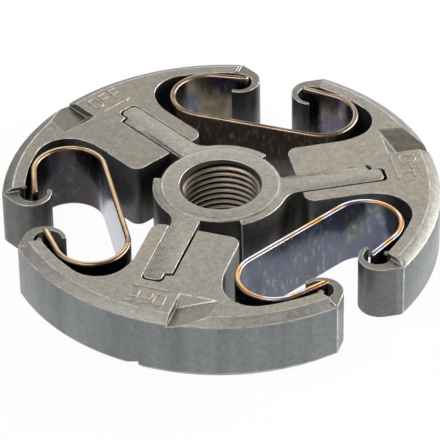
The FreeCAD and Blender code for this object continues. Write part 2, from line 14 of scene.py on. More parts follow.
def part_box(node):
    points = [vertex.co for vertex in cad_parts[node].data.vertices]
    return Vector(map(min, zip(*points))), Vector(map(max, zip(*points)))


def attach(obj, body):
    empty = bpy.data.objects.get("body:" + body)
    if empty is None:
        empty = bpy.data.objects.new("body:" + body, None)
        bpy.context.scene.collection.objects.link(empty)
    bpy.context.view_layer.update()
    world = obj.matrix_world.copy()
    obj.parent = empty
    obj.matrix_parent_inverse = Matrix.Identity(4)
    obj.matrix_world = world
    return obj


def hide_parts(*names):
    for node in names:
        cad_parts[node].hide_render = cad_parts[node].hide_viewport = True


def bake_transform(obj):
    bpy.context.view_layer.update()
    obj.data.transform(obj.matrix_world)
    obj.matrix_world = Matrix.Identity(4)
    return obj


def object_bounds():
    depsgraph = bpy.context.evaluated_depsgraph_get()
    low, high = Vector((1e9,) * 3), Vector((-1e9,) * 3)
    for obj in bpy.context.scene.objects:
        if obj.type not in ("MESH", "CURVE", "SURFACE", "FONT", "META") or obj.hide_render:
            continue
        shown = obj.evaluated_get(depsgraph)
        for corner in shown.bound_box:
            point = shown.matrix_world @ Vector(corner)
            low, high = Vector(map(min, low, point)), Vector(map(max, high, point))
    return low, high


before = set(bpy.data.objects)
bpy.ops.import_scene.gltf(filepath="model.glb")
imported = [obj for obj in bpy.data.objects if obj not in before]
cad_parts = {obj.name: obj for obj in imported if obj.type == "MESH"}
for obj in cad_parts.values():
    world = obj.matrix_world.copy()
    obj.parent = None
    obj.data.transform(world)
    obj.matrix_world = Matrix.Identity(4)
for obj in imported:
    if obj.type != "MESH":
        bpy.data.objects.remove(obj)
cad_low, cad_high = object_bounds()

MM = 0.001
scene = bpy.context.scene
print("CAD box in mm:", [round(c / MM, 2) for c in cad_low], [round(c / MM, 2) for c in cad_high])

# %% [markdown]
# ## The camera
# The photograph is a product shot taken from a little left of the front, looking down at about 37
# degrees through a long lens, so the far shoes look hardly smaller than the near one. The camera
# could be aimed with a constraint, but a matrix built from its three angles says more plainly
# where it stands. It looks slightly below the clutch, because the clutch sits high in the frame.

# %% Set up the camera
IMAGE_SIDE = 440
FOCAL_PIXELS = 3500.0
SIDEWAYS, DOWNWARD, ROLL = 11.57, 36.91, -1.14
DISTANCE = 510.16 * MM
LIFT_PIXELS, RIGHT_PIXELS = 35.16, 0.62
# How high the shoes' top faces lie above the frame's origin.
FACE = 5.2 * MM

aim = Vector((0.0, 0.0, FACE))
level = math.cos(math.radians(DOWNWARD))
forward = Vector((level * math.sin(math.radians(SIDEWAYS)), level * math.cos(math.radians(SIDEWAYS)),
                  -math.sin(math.radians(DOWNWARD))))
turn = forward.to_track_quat("-Z", "Y").to_matrix().to_4x4()
turn = turn @ Matrix.Rotation(math.radians(ROLL), 4, "Z")
turn = turn @ Matrix.Rotation(-math.atan(LIFT_PIXELS / FOCAL_PIXELS), 4, "X")
turn = turn @ Matrix.Rotation(math.atan(RIGHT_PIXELS / FOCAL_PIXELS), 4, "Y")

camera_data = bpy.data.cameras.new("camera")
camera_data.sensor_width = 36.0
camera_data.lens = FOCAL_PIXELS / IMAGE_SIDE * camera_data.sensor_width
camera_data.clip_start = 0.01
camera_data.clip_end = 20.0
camera = bpy.data.objects.new("camera", camera_data)
camera.matrix_world = Matrix.Translation(aim - DISTANCE * forward) @ turn
scene.collection.objects.link(camera)
scene.camera = camera
print("lens %.1f mm, %.3f m from the clutch" % (camera_data.lens, DISTANCE))

# %% [markdown]
# ## Building a material from nodes
# Every finish below is a small tree of shader nodes. A few helpers keep the trees readable: one
# adds a node and fills its sockets, one starts a material and hands back coordinates in
# millimetres, so that a noise scale of 2 means two grains to the millimetre, and the rest make
# patterns, mix colours and do sums.

# %% Helpers for shader trees
def add(tree, kind, settings=None, **sockets):
    """A node of that kind; a socket's value is a number, a colour or another node's output."""
    node = tree.nodes.new(kind)
    for name, value in (settings or {}).items():
        setattr(node, name, value)
    for name, value in sockets.items():
        key = int(name[1:]) if name[0] == "i" and name[1:].isdigit() else name.replace("_", " ")
        if isinstance(value, bpy.types.NodeSocket):
            tree.links.new(value, node.inputs[key])
        else:
            node.inputs[key].default_value = value
    return node


def start_material(name):
    """A new material, its tree, its surface shader and object coordinates in millimetres."""
    material = bpy.data.materials.new(name)
    material.use_nodes = True
    tree = material.node_tree
    shader = tree.nodes["Principled BSDF"]
    place = add(tree, "ShaderNodeTexCoord").outputs["Object"]
    scaled = add(tree, "ShaderNodeMapping", Vector=place, Scale=(1.0 / MM, 1.0 / MM, 1.0 / MM))
    return material, tree, shader, scaled.outputs["Vector"]


print("Helpers for nodes and materials ready")

# %% Patterns and colours
def noise(tree, place, scale, detail=2.0, rough=0.5):
    return add(tree, "ShaderNodeTexNoise", Vector=place, Scale=scale, Detail=detail,
               Roughness=rough).outputs["Fac"]


def ramp(tree, value, stops):
    """A colour ramp: stops are pairs of position and linear colour."""
    node = add(tree, "ShaderNodeValToRGB", Fac=value)
    while len(node.color_ramp.elements) < len(stops):
        node.color_ramp.elements.new(0.5)
    for element, (position, colour) in zip(node.color_ramp.elements, stops):
        element.position = position
        element.color = (*colour, 1.0)
    return node.outputs["Color"]


def between(tree, value, low, high, to_low=0.0, to_high=1.0):
    """Rescales a value, held within its new limits."""
    return add(tree, "ShaderNodeMapRange", Value=value, From_Min=low, From_Max=high, To_Min=to_low,
               To_Max=to_high).outputs["Result"]


def mix_colour(tree, share, first, second, blend="MIX"):
    node = add(tree, "ShaderNodeMix", {"data_type": "RGBA", "blend_type": blend}, i0=share)
    for index, colour in ((6, first), (7, second)):
        if isinstance(colour, bpy.types.NodeSocket):
            tree.links.new(colour, node.inputs[index])
        else:
            node.inputs[index].default_value = (*colour, 1.0)
    return node.outputs[2]


def from_srgb(red, green, blue):
    """An 8-bit screen colour as the linear colour that a shader takes."""
    return tuple(c / 12.92 if c <= 0.04045 else ((c + 0.055) / 1.055) ** 2.4
                 for c in (red / 255, green / 255, blue / 255))


print("Helpers for patterns and colours ready")

# %% Sums
def calc(tree, operation, first, second=0.0):
    return add(tree, "ShaderNodeMath", {"operation": operation}, i0=first, i1=second).outputs["Value"]


def times(tree, first, second):
    """A product; for two masks it is the place that both cover."""
    return calc(tree, "MULTIPLY", first, second)


def vector_calc(tree, operation, **sockets):
    return add(tree, "ShaderNodeVectorMath", {"operation": operation}, **sockets).outputs


def parts_of(tree, vector):
    return add(tree, "ShaderNodeSeparateXYZ", Vector=vector).outputs


def from_axis(tree, parts):
    """How far a place is from the axis."""
    squares = calc(tree, "ADD", times(tree, parts["X"], parts["X"]), times(tree, parts["Y"], parts["Y"]))
    return calc(tree, "SQRT", squares)


print("Helpers for sums ready")

# %% [markdown]
# ## Floor, backdrop and light
# The clutch lies on a white sweep in even studio light. One soft box hangs overhead at the left, a
# wide one behind shines off the flat tops, one above the camera picks out the rounded edges and
# reaches into the thread, and one at the right brightens the walls that face it. Little light
# comes in low from the left, so the deep bays between the shoes go nearly black.
# The floor is white paint; for the camera and for mirror-like reflections it is nearly all glow,
# so that the background is white while a trace of the clutch's own shadow still shows.

# %% Make the floor
FLOOR_RADIUS, FLOOR_GLOW = 3.0, 0.96
PAINT, WHITE = (0.80, 0.80, 0.80, 1.0), (1.0, 1.0, 1.0, 1.0)
floor_level = cad_low[2]
floor_shape = bmesh.new()
bmesh.ops.create_circle(floor_shape, cap_ends=True, segments=64, radius=FLOOR_RADIUS)
bmesh.ops.translate(floor_shape, verts=floor_shape.verts, vec=(0.0, 0.0, floor_level))
floor_mesh = bpy.data.meshes.new("floor")
floor_shape.to_mesh(floor_mesh)
floor_shape.free()
floor = bpy.data.objects.new("floor", floor_mesh)
scene.collection.objects.link(floor)

floor_material = bpy.data.materials.new("white_sweep")
floor_material.use_nodes = True
tree = floor_material.node_tree
paint = tree.nodes["Principled BSDF"]
paint.inputs["Base Color"].default_value = PAINT
paint.inputs["Roughness"].default_value = 0.9
paint.inputs["Specular IOR Level"].default_value = 0.1
rays = add(tree, "ShaderNodeLightPath").outputs
seen = calc(tree, "MAXIMUM", calc(tree, "MAXIMUM", rays["Is Camera Ray"], rays["Is Glossy Ray"]),
            rays["Is Transmission Ray"])
glow = add(tree, "ShaderNodeEmission", Color=WHITE, Strength=1.0)
sweep = add(tree, "ShaderNodeMixShader", i0=times(tree, seen, FLOOR_GLOW),
            i1=paint.outputs["BSDF"], i2=glow.outputs["Emission"])
tree.links.new(sweep.outputs["Shader"], tree.nodes["Material Output"].inputs["Surface"])
floor_mesh.materials.append(floor_material)
print("Floor at z = %.2f mm" % (floor_level / MM))

# %% Light the scene
FILL = 0.04
scene.view_settings.view_transform = "Standard"
world = bpy.data.worlds.new("studio")
world.use_nodes = True
scene.world = world
tree = world.node_tree
surround = tree.nodes["Background"]
surround.inputs["Color"].default_value = WHITE
rays = add(tree, "ShaderNodeLightPath").outputs
strength = between(tree, rays["Is Camera Ray"], 0.0, 1.0, FILL, 1.0)
tree.links.new(strength, surround.inputs["Strength"])


def soft_box(name, place, size, watts):
    """A rectangular lamp at a place in metres that faces the middle of the clutch."""
    data = bpy.data.lights.new(name, "AREA")
    data.shape = "RECTANGLE"
    data.size, data.size_y = size
    data.energy = watts
    lamp = bpy.data.objects.new(name, data)
    lamp.location = place
    lamp.rotation_euler = (-Vector(place)).to_track_quat("-Z", "Y").to_euler()
    scene.collection.objects.link(lamp)
    return lamp


soft_box("overhead_box", (-0.50, 0.05, 0.88), (0.7, 0.7), 4.2)
soft_box("front_box", (-0.28, -0.42, 0.92), (0.5, 0.4), 3.4)
soft_box("back_box", (0.08, 1.00, 0.54), (1.0, 0.5), 3.7)
soft_box("right_box", (0.60, 0.02, 0.18), (0.9, 0.32), 7.2)
soft_box("left_box", (-0.75, 0.10, 0.30), (0.6, 0.4), 0.4)

# %% [markdown]
# ## Sintered steel
# Shoes and hub are pressed from iron powder and sintered, then barrel finished and steam treated.
# The skin is a warm grey with fine grain, small pores and faint cloudy patches; the friction
# faces are ground afterwards, which leaves them cooler and smoother, with faint upright streaks.
# What else sets one part of a shoe off from another is a matter of place and direction, so masks
# made from both choose the tone; the darker tones of the walls, the sunk faces and the notch's
# facets, deepest on the walls that face the axis, are painted shade. A second finish goes on the
# rounded edges, where handling has polished the metal; its light tone is also a painted highlight.

# %% Masks for the parts of a shoe
# The rim's radius and the radii between which the outer part of a shoe begins, in mm.
RIM = 32.0
OUTER_PART = (20.0, 22.0)


def shoe_masks(tree, place, facing, upright):
    """Where a shoe's finish and its painted shade differ, from 0 to 1; upright is 1 on level faces and 0 on
    walls.

    rim is the friction face and slant the band above it. The other three mark where painted shade
    goes: the level faces below the top face, the notch's facets and the walls that face the axis.
    """
    parts = parts_of(tree, place)
    radius = from_axis(tree, parts)
    outer = between(tree, radius, *OUTER_PART)
    rim = times(tree, between(tree, radius, RIM - 0.6, RIM - 0.45), between(tree, upright, 0.3, 0.2))
    tilted = times(tree, between(tree, upright, 0.5, 0.6), between(tree, upright, 0.97, 0.93))
    slant = times(tree, between(tree, radius, RIM - 2.0, RIM - 1.8), tilted)
    height = calc(tree, "ABSOLUTE", parts["Z"])
    lowered = between(tree, height, FACE / MM - 0.04, FACE / MM - 0.12)
    sunk = times(tree, lowered, times(tree, between(tree, upright, 0.93, 0.96), outer))
    facet = times(tree, between(tree, upright, 0.2, 0.3), between(tree, upright, 0.96, 0.93))
    steep_shade = times(tree, facet, calc(tree, "SUBTRACT", outer, slant))
    outward = vector_calc(tree, "DOT_PRODUCT", i0=place, i1=facing)["Value"]
    outward = calc(tree, "DIVIDE", outward, radius)
    axis_wall_shade = times(tree, between(tree, outward, -0.05, -0.5), between(tree, upright, 0.5, 0.3))
    return rim, slant, sunk, steep_shade, axis_wall_shade


print("Masks ready for a rim of %.0f mm radius" % RIM)

# %% Dark places, streaks and pores
def darken(tree, tone, mask, least):
    """A tone that falls to a share of itself where the mask is full."""
    return times(tree, tone, between(tree, mask, 0.0, 1.0, 1.0, least))


def grind(tree, place, tone, rim):
    """Calms the mottle of the ground rim and adds its upright streaks."""
    calm = between(tree, rim, 0.0, 1.0, 1.0, 0.6)
    tone = calc(tree, "ADD", 1.0, times(tree, calc(tree, "SUBTRACT", tone, 1.0), calm))
    tall = add(tree, "ShaderNodeMapping", Vector=place, Scale=(0.22, 0.22, 0.02)).outputs["Vector"]
    streaks = between(tree, noise(tree, tall, 1.0, 3.0, 0.6), 0.35, 0.65, 0.86, 1.14)
    streaks = calc(tree, "ADD", 1.0, times(tree, rim, calc(tree, "SUBTRACT", streaks, 1.0)))
    return times(tree, tone, streaks)


def pores(tree, place):
    """A mask of small round pores, in about one cell of seven."""
    cells = add(tree, "ShaderNodeTexVoronoi", Vector=place, Scale=0.8, Randomness=1.0).outputs
    dot = between(tree, cells["Distance"], 0.06, 0.13, 1.0, 0.0)
    chance = add(tree, "ShaderNodeSeparateColor", Color=cells["Color"]).outputs["Red"]
    return times(tree, dot, between(tree, chance, 0.84, 0.88))


print("Helpers for the skin of the steel ready")

# %% Sintered steel for shoes and hub
# How far painted shade darkens the sunk faces, the notch's facets and the walls that face the axis, and how
# far the pores darken.
SUNK_SHADE, STEEP_SHADE, AXIS_WALL_SHADE, PORE_TONE = 0.68, 0.6, 0.22, 0.45


def sintered(name, warm, plain, shaded_wall, ground=None, chamfer=None):
    """Pressed and sintered iron: two tones for the faces and a darker one for the walls, a painted shade.

    ground is the tone of the friction face and chamfer that of the slanted band above it, where
    the piece has them. On such a piece the walls that face the axis get a deep painted shade, and the
    sunk faces and the notch's facets a lighter one.
    """
    material, tree, shader, place = start_material(name)
    cloud = noise(tree, place, 0.11, 2.0, 0.5)
    patch = noise(tree, place, 1.1, 4.0, 0.6)
    grain = noise(tree, place, 3.2, 3.0, 0.65)
    facing = add(tree, "ShaderNodeTexCoord").outputs["Normal"]
    upright = calc(tree, "ABSOLUTE", parts_of(tree, facing)["Z"])
    face_tone = ramp(tree, cloud, ((0.40, plain), (0.60, warm)))
    # Walls take the darker wall tone: painted shade.
    skin = mix_colour(tree, between(tree, upright, 0.45, 0.93), shaded_wall, face_tone)
    mottle = calc(tree, "ADD", times(tree, patch, 0.5), times(tree, grain, 0.5))
    tone = between(tree, mottle, 0.34, 0.66, 0.68, 1.32)
    rough = calc(tree, "ADD", between(tree, patch, 0.3, 0.7, -0.05, 0.05),
                 between(tree, upright, 0.4, 0.9, 0.40, 0.47))
    metal = between(tree, upright, 0.45, 0.9, 0.45, 0.8)
    if ground:
        rim, slant, sunk, steep_shade, axis_wall_shade = shoe_masks(tree, place, facing, upright)
        skin = mix_colour(tree, slant, mix_colour(tree, rim, skin, ground), chamfer)
        tone = grind(tree, place, tone, rim)
        # Painted shade on the sunk faces, the notch's facets and the walls that face the axis.
        for mask, least in ((sunk, SUNK_SHADE), (steep_shade, STEEP_SHADE), (axis_wall_shade, AXIS_WALL_SHADE)):
            tone = darken(tree, tone, mask, least)
        rough = calc(tree, "SUBTRACT", rough, times(tree, rim, 0.10))
        rough = calc(tree, "ADD", rough, times(tree, slant, 0.05))
        metal = calc(tree, "MAXIMUM", metal, times(tree, rim, 0.8))
        metal = calc(tree, "SUBTRACT", metal, times(tree, slant, 0.15))
    pore = pores(tree, place)
    tone = darken(tree, tone, pore, PORE_TONE)
    colour = vector_calc(tree, "SCALE", i0=skin, Scale=tone)["Vector"]
    tree.links.new(colour, shader.inputs["Base Color"])
    tree.links.new(rough, shader.inputs["Roughness"])
    tree.links.new(metal, shader.inputs["Metallic"])
    height = calc(tree, "SUBTRACT", mottle, times(tree, pore, 0.4))
    bump = add(tree, "ShaderNodeBump", Strength=0.2, Distance=0.00008, Height=height)
    tree.links.new(bump.outputs["Normal"], shader.inputs["Normal"])
    return material


# The second shoe, at the back on the left, is made a little darker: painted shade. Their tones are
# those of the warm and plain faces, the walls (darker, a painted shade), the friction face and the slanted
# band.
SHOE_TONES = ((160, 152, 139), (153, 149, 139), (112, 112, 111), (124, 127, 128), (147, 144, 137))
shoe_steel = {}
for number, shine in ((1, 1.01), (2, 0.91), (3, 1.01)):
    shoe_steel[number] = sintered("pressed_shoe_steel_%d" % number,
                                  *(from_srgb(*(shine * c for c in colour)) for colour in SHOE_TONES))
# The hub's walls get a much darker tone than its faces: painted shade.
hub_steel = sintered("pressed_hub_steel", from_srgb(159, 154, 142), from_srgb(157, 153, 143),
                     from_srgb(78, 76, 72))
print("Sintered finishes:", [m.name for m in shoe_steel.values()], hub_steel.name)

# %% Polished edges
def polished_and_highlit_edge(name, dull, bright):
    """Worn metal, brighter and smoother where it has been rubbed most; its light tone is also a painted
    highlight.
    """
    material, tree, shader, place = start_material(name)
    wear = noise(tree, place, 0.8, 4.0, 0.7)
    tree.links.new(ramp(tree, wear, ((0.35, dull), (0.60, bright))), shader.inputs["Base Color"])
    tree.links.new(between(tree, wear, 0.3, 0.7, 0.44, 0.30), shader.inputs["Roughness"])
    shader.inputs["Metallic"].default_value = 0.35
    return material


# Rounded edges and raised marks are lighter than the faces: partly polish, partly painted highlight.
edge_wear_and_highlight = polished_and_highlit_edge("polished_and_highlit_edge", from_srgb(150, 146, 137), from_srgb(204, 201, 192))
mark_wear_and_highlight = polished_and_highlit_edge("worn_and_highlit_mark", from_srgb(160, 148, 134), from_srgb(186, 174, 160))
print("Edge finishes:", edge_wear_and_highlight.name, mark_wear_and_highlight.name)

# %% [markdown]
# ## The shoes
# The CAD solids already have the right shape, so they stay. Real edges are never razor sharp,
# though: a Weld modifier joins the loose triangles, a planar Decimate clears the flat faces and a
# Bevel rounds every corner by about an eighth of a millimetre, with the polished finish on the
# round; its light tone is partly a painted highlight.

# %% Round the edges of the shoes
EDGE_WIDTH = 0.13 * MM
MERGE = 2e-6
FLAT_ANGLE, SHOE_CORNER = math.radians(0.6), math.radians(20.0)
# Material slots of a mesh: its skin, its rounded edges and, on the hub, its thread.
SKIN, ROUND, THREAD = 0, 1, 2


def add_bevel(piece, method):
    bevel = piece.modifiers.new("round_edges", "BEVEL")
    bevel.width = EDGE_WIDTH
    bevel.segments = 2
    bevel.limit_method = method
    bevel.material = ROUND
    bevel.harden_normals = True
    bevel.use_clamp_overlap = False
    return bevel


def round_edges(piece):
    weld = piece.modifiers.new("join_triangles", "WELD")
    weld.merge_threshold = MERGE
    flats = piece.modifiers.new("clear_flats", "DECIMATE")
    flats.decimate_type = "DISSOLVE"
    flats.angle_limit = FLAT_ANGLE
    bevel = add_bevel(piece, "ANGLE")
    bevel.angle_limit = SHOE_CORNER


for number in (1, 2, 3):
    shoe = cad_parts["shoe_%d" % number]
    shoe.data.materials.clear()
    shoe.data.materials.append(shoe_steel[number])
    shoe.data.materials.append(edge_wear_and_highlight)
    round_edges(shoe)
print("Shoes finished:", [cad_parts["shoe_%d" % n].name for n in (1, 2, 3)])

# %% [markdown]
# ## The hub and its thread
# The hub screws onto the engine's crankshaft with a left-hand thread, one millimetre of pitch on
# twelve millimetres of diameter. The CAD hub has a plain bore, so a merged copy of it loses the
# bore and the two boss faces and gets a turned thread instead. A Screw modifier could sweep the
# profile, but bmesh's spin does it in one call: the whole zigzag turns once about the axis while
# it climbs by one pitch, so its end meets its start one tooth further along.

# %% Copy the hub without its bore
BOSS_FACE, BOSS_EDGE = 5.35 * MM, 8.55 * MM
BORE_REACH = 6.3 * MM
NEAR = 1e-5
# A face is level when its normal's Z is beyond this.
LEVEL_FACE = 0.99
hub_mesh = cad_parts["hub"].data.copy()
hub_mesh.name = "hub_threaded"
hub_mesh.materials.clear()
hub_shape = bmesh.new()
hub_shape.from_mesh(hub_mesh)
bmesh.ops.remove_doubles(hub_shape, verts=hub_shape.verts, dist=MERGE)
away = []
for face in hub_shape.faces:
    reach = max(math.hypot(v.co.x, v.co.y) for v in face.verts)
    on_boss_face = abs(face.normal.z) > LEVEL_FACE and abs(face.verts[0].co.z) > BOSS_FACE - NEAR
    if reach < BORE_REACH or (on_boss_face and reach < BOSS_EDGE + NEAR):
        away.append(face)
bmesh.ops.delete(hub_shape, geom=away, context="FACES")
bmesh.ops.dissolve_limit(hub_shape, angle_limit=FLAT_ANGLE, verts=hub_shape.verts,
                         edges=hub_shape.edges)
rims = [e for e in hub_shape.edges if e.is_boundary]
print("Open rims of the boss: %d edges" % len(rims))

# %% Turn the thread
PITCH, CREST, ROOT = 1.0 * MM, 5.46 * MM, 6.0 * MM
TEETH_UP = 7
TURN_STEPS = 120
# One tooth: how far along the pitch its corners are, and their radii.
TOOTH = ((0.0, CREST), (0.25, CREST), (0.5625, ROOT), (0.6875, ROOT))
thread_shape = bmesh.new()
chain = [thread_shape.verts.new((radius, 0.0, (tooth + share) * PITCH))
         for tooth in range(-TEETH_UP, TEETH_UP + 1) for share, radius in TOOTH]
line = [thread_shape.edges.new(pair) for pair in zip(chain, chain[1:])]
bmesh.ops.spin(thread_shape, geom=chain + line, cent=(0, 0, 0), axis=(0, 0, 1), angle=2 * math.pi,
               dvec=(0, 0, -PITCH / TURN_STEPS), steps=TURN_STEPS, use_merge=False)
bmesh.ops.remove_doubles(thread_shape, verts=thread_shape.verts, dist=MERGE)
print("Thread: %d faces in %d teeth" % (len(thread_shape.faces), 2 * TEETH_UP + 1))

# %% Cut the thread's ends
# A cone at each end leads the shaft in, and a narrow lip joins it to the boss face.
LEAD_REACH, LEAD_DROP = 0.6 * MM, 0.9 * MM
MOUTH_DROP, MOUTH_SPREAD = 0.08 * MM, 1.016
ON_CUT, SLIVER = 1e-6, 0.03 * MM
for vert in thread_shape.verts:
    cone = CREST + (abs(vert.co.z) - (BOSS_FACE - LEAD_DROP)) * LEAD_REACH / LEAD_DROP
    reach = math.hypot(vert.co.x, vert.co.y)
    if reach < cone:
        vert.co.x *= cone / reach
        vert.co.y *= cone / reach
for face in thread_shape.faces:
    face.material_index = THREAD
for side in (1, -1):
    level = side * (BOSS_FACE - MOUTH_DROP)
    everything = thread_shape.verts[:] + thread_shape.edges[:] + thread_shape.faces[:]
    bmesh.ops.bisect_plane(thread_shape, geom=everything, plane_co=(0, 0, level), plane_no=(0, 0, side),
                           clear_outer=True, dist=1e-7)
    on_cut = [v for v in thread_shape.verts if abs(v.co.z - level) < ON_CUT]
    bmesh.ops.remove_doubles(thread_shape, verts=on_cut, dist=SLIVER)
    loop = [e for e in thread_shape.edges if e.is_boundary
            and all(abs(v.co.z - level) < ON_CUT for v in e.verts)]
    mouth = bmesh.ops.extrude_edge_only(thread_shape, edges=loop)["geom"]
    raised = [item for item in mouth if isinstance(item, bmesh.types.BMVert)]
    bmesh.ops.scale(thread_shape, vec=(MOUTH_SPREAD, MOUTH_SPREAD, 1.0), verts=raised)
    bmesh.ops.translate(thread_shape, vec=(0.0, 0.0, side * MOUTH_DROP), verts=raised)
    for face in (item for item in mouth if isinstance(item, bmesh.types.BMFace)):
        face.material_index = ROUND
thread_mesh = bpy.data.meshes.new("thread")
thread_shape.to_mesh(thread_mesh)
thread_shape.free()
print("Cut thread: %d faces" % len(thread_mesh.polygons))

# %% Join thread and hub
# The bevel later rounds the boss's ring and every corner of the hub outside this radius.
ROUND_FROM = 9.2 * MM
HUB_CORNER = math.radians(14.0)
for face in hub_shape.faces:
    face.material_index = SKIN
hub_shape.from_mesh(thread_mesh)
for side in (1, -1):
    rim_edges = [e for e in hub_shape.edges if e.is_boundary
                 and all(abs(v.co.z - side * BOSS_FACE) < MERGE for v in e.verts)]
    for face in bmesh.ops.bridge_loops(hub_shape, edges=rim_edges)["faces"]:
        face.material_index = SKIN
    print("Boss face %+d: %d rim edges bridged" % (side, len(rim_edges)))
bmesh.ops.recalc_face_normals(hub_shape, faces=hub_shape.faces)
weights = hub_shape.edges.layers.float.new("bevel_weight_edge")
for edge in hub_shape.edges:
    if edge.calc_face_angle(0.0) > HUB_CORNER:
        reaches = [math.hypot(v.co.x, v.co.y) for v in edge.verts]
        on_ring = all(abs(reach - BOSS_EDGE) < 2 * NEAR for reach in reaches)
        rounded = on_ring or max(reaches) > ROUND_FROM
        edge[weights] = 1.0 if rounded else 0.0
        edge.smooth = rounded
for face in hub_shape.faces:
    face.smooth = True
print("Open edges left: %d" % sum(e.is_boundary for e in hub_shape.edges))
hub_shape.to_mesh(hub_mesh)
hub_shape.free()

# %% Finish the hub
# Between these radii in mm the thread darkens to the painted shade of its roots.
ROOT_SHADE_FROM, ROOT_SHADE_TO = 5.62, 5.84
ROOT_SHADE, LEAD_SHADE = from_srgb(26, 23, 20), from_srgb(62, 58, 52)


def thread_finish(name):
    """Cut steel: bright on the crests, with painted shade in the roots, on the lead-in and towards the
    lower end of the bore; the lead-in is also rougher.
    """
    material, tree, shader, place = start_material(name)
    parts = parts_of(tree, place)
    tone = noise(tree, place, 0.7, 4.0, 0.6)
    bright = ramp(tree, tone, ((0.35, from_srgb(158, 144, 127)), (0.65, from_srgb(178, 166, 150))))
    # Painted shade: the thread darkens towards the lower end of the bore.
    bright = mix_colour(tree, 1.0, bright, between(tree, parts["Z"], -3.0, 3.5, 0.5, 1.0), "MULTIPLY")
    lead_level = (BOSS_FACE - LEAD_DROP) / MM
    lead = between(tree, calc(tree, "ABSOLUTE", parts["Z"]), lead_level, lead_level + 0.1)
    # The lead-in takes a dark colour: painted shade.
    bright = mix_colour(tree, lead, bright, LEAD_SHADE)
    thread_share = calc(tree, "SUBTRACT", 1.0, lead)
    # Painted shade in the roots, where the thread runs deepest.
    depth = times(tree, between(tree, from_axis(tree, parts), ROOT_SHADE_FROM, ROOT_SHADE_TO), thread_share)
    rough = calc(tree, "ADD", between(tree, tone, 0.3, 0.7, 0.34, 0.44), times(tree, lead, 0.35))
    tree.links.new(mix_colour(tree, depth, bright, ROOT_SHADE), shader.inputs["Base Color"])
    tree.links.new(rough, shader.inputs["Roughness"])
    tree.links.new(times(tree, thread_share, 0.75), shader.inputs["Metallic"])
    tree.links.new(times(tree, thread_share, 0.5), shader.inputs["Specular IOR Level"])
    return material


thread_steel = thread_finish("thread_steel")
for material in (hub_steel, edge_wear_and_highlight, thread_steel):
    hub_mesh.materials.append(material)
hub = bpy.data.objects.new("hub_threaded", hub_mesh)
scene.collection.objects.link(hub)
add_bevel(hub, "WEIGHT")
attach(hub, "hub")
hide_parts("hub")
print("Hub: %d faces" % len(hub_mesh.polygons))

# %% [markdown]
# ## The springs
# Each spring is a strip of tempered steel, bent to a C, whose two legs sit in the hooks of two
# neighbouring shoes. When the shoes move out, the legs spread. The strip is made in two halves
# that meet in the middle of its back. The half starts as the strip's cross-section, which is
# extruded along the back, spun round the bend and extruded once more for the leg.

# %% Finish of the strips' faces
# The painted colour of a back, a shade on the first spring and a reflection on the second, is full inside
# the second of these radii in mm and gone outside the first.
BACK_ENDS = (21.0, 19.0)
PALE_SCUFF = from_srgb(214, 216, 222)


def screen_stops(*rows):
    """Stops of a ramp, from rows of a position and a screen colour."""
    return [(row[0], from_srgb(*row[1:])) for row in rows]


def strip_face(name, colours, scuffed, outside=None, inside=None):
    """The broad faces: smooth temper colours; scuffed is the share of pale upright scuffs.

    outside is the colour of the back's own outside, which faces the axis, a painted shade, and inside
    that of its inside, a painted reflection. Both run out where the bends begin.
    """
    material, tree, shader, place = start_material(name)
    squat = add(tree, "ShaderNodeMapping", Vector=place, Scale=(1.0, 1.0, 0.6)).outputs["Vector"]
    body = ramp(tree, noise(tree, squat, 0.14, 3.0, 0.5), colours)
    facing = add(tree, "ShaderNodeTexCoord").outputs["Normal"]
    plan = vector_calc(tree, "MULTIPLY", i0=place, i1=(1.0, 1.0, 0.0))["Vector"]
    outward = vector_calc(tree, "DOT_PRODUCT", i0=plan, i1=facing)["Value"]
    radius = vector_calc(tree, "LENGTH", i0=plan)["Value"]
    shader.inputs["Metallic"].default_value = 1.0
    for colour, low, high, shine in ((outside, -2.0, -6.0, 0.25), (inside, 11.0, 14.0, 1.0)):
        if colour:
            back = times(tree, between(tree, outward, low, high), between(tree, radius, *BACK_ENDS))
            body = mix_colour(tree, back, body, colour)
            tree.links.new(between(tree, back, 0.0, 1.0, 1.0, shine), shader.inputs["Metallic"])
    upright = add(tree, "ShaderNodeMapping", Vector=place, Scale=(1.5, 1.5, 0.6)).outputs["Vector"]
    streak = noise(tree, upright, 1.0, 4.0, 0.62)
    scuff = times(tree, between(tree, streak, 0.50, 0.72),
                  between(tree, noise(tree, place, 0.28, 2.0, 0.5), 0.42, 0.62))
    body = mix_colour(tree, times(tree, scuff, scuffed), body, PALE_SCUFF)
    tree.links.new(body, shader.inputs["Base Color"])
    tree.links.new(between(tree, streak, 0.35, 0.72, 0.20, 0.34), shader.inputs["Roughness"])
    return material


# The first spring's back gets a painted shade on its outside, the second's a painted reflection on its
# inside.
temper_face = strip_face("temper_strip", screen_stops(
    (0.32, 82, 70, 60), (0.42, 114, 107, 92), (0.49, 90, 84, 94), (0.56, 90, 93, 108),
    (0.66, 122, 110, 104)), 0.25, outside=from_srgb(76, 63, 54))
brown_face = strip_face("brown_strip", screen_stops(
    (0.34, 54, 48, 46), (0.50, 60, 57, 60), (0.66, 68, 64, 66)), 0.12, inside=from_srgb(178, 180, 192))
blue_face = strip_face("blue_strip", screen_stops(
    (0.30, 74, 68, 76), (0.42, 96, 98, 112), (0.54, 101, 105, 119), (0.64, 102, 106, 104)), 0.4)
print("Faces of the strips:", temper_face.name, brown_face.name, blue_face.name)

